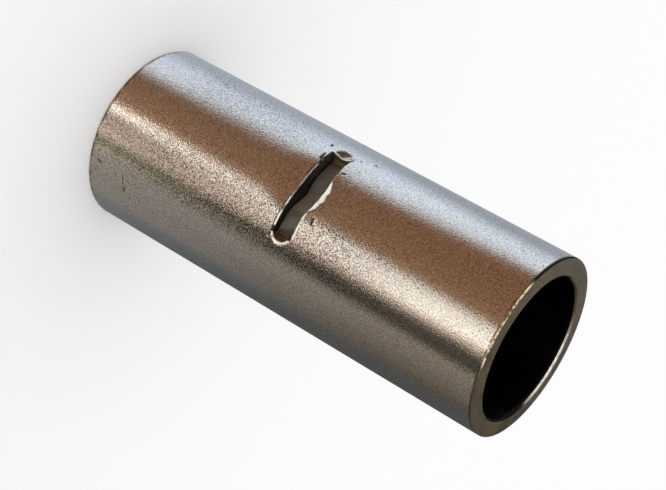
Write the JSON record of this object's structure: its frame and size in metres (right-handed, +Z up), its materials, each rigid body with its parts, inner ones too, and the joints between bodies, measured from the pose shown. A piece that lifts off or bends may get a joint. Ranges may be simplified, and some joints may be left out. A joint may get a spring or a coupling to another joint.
{
  "type": "butt splice ferrule",
  "caption": "Short tinned copper tube for joining wires end to end by crimping, with a lanced strip of its wall pressed into the bore at mid-length as a wire stop.",
  "frame": {"origin": "centre of the lower end face, on the tube's axis, where the sleeve stands", "axes": "+Z up the tube's axis, with the pressed wire stop at mid-length facing -Y"},
  "size_m": [0.0098, 0.0098, 0.025],
  "materials": {
    "tin_plate": "dull tin plate over copper, satin, with fine drawing grain and small pits"
  },
  "bodies": {
    "root": {"splice_sleeve": "tin_plate"}
  },
  "joints": []
}
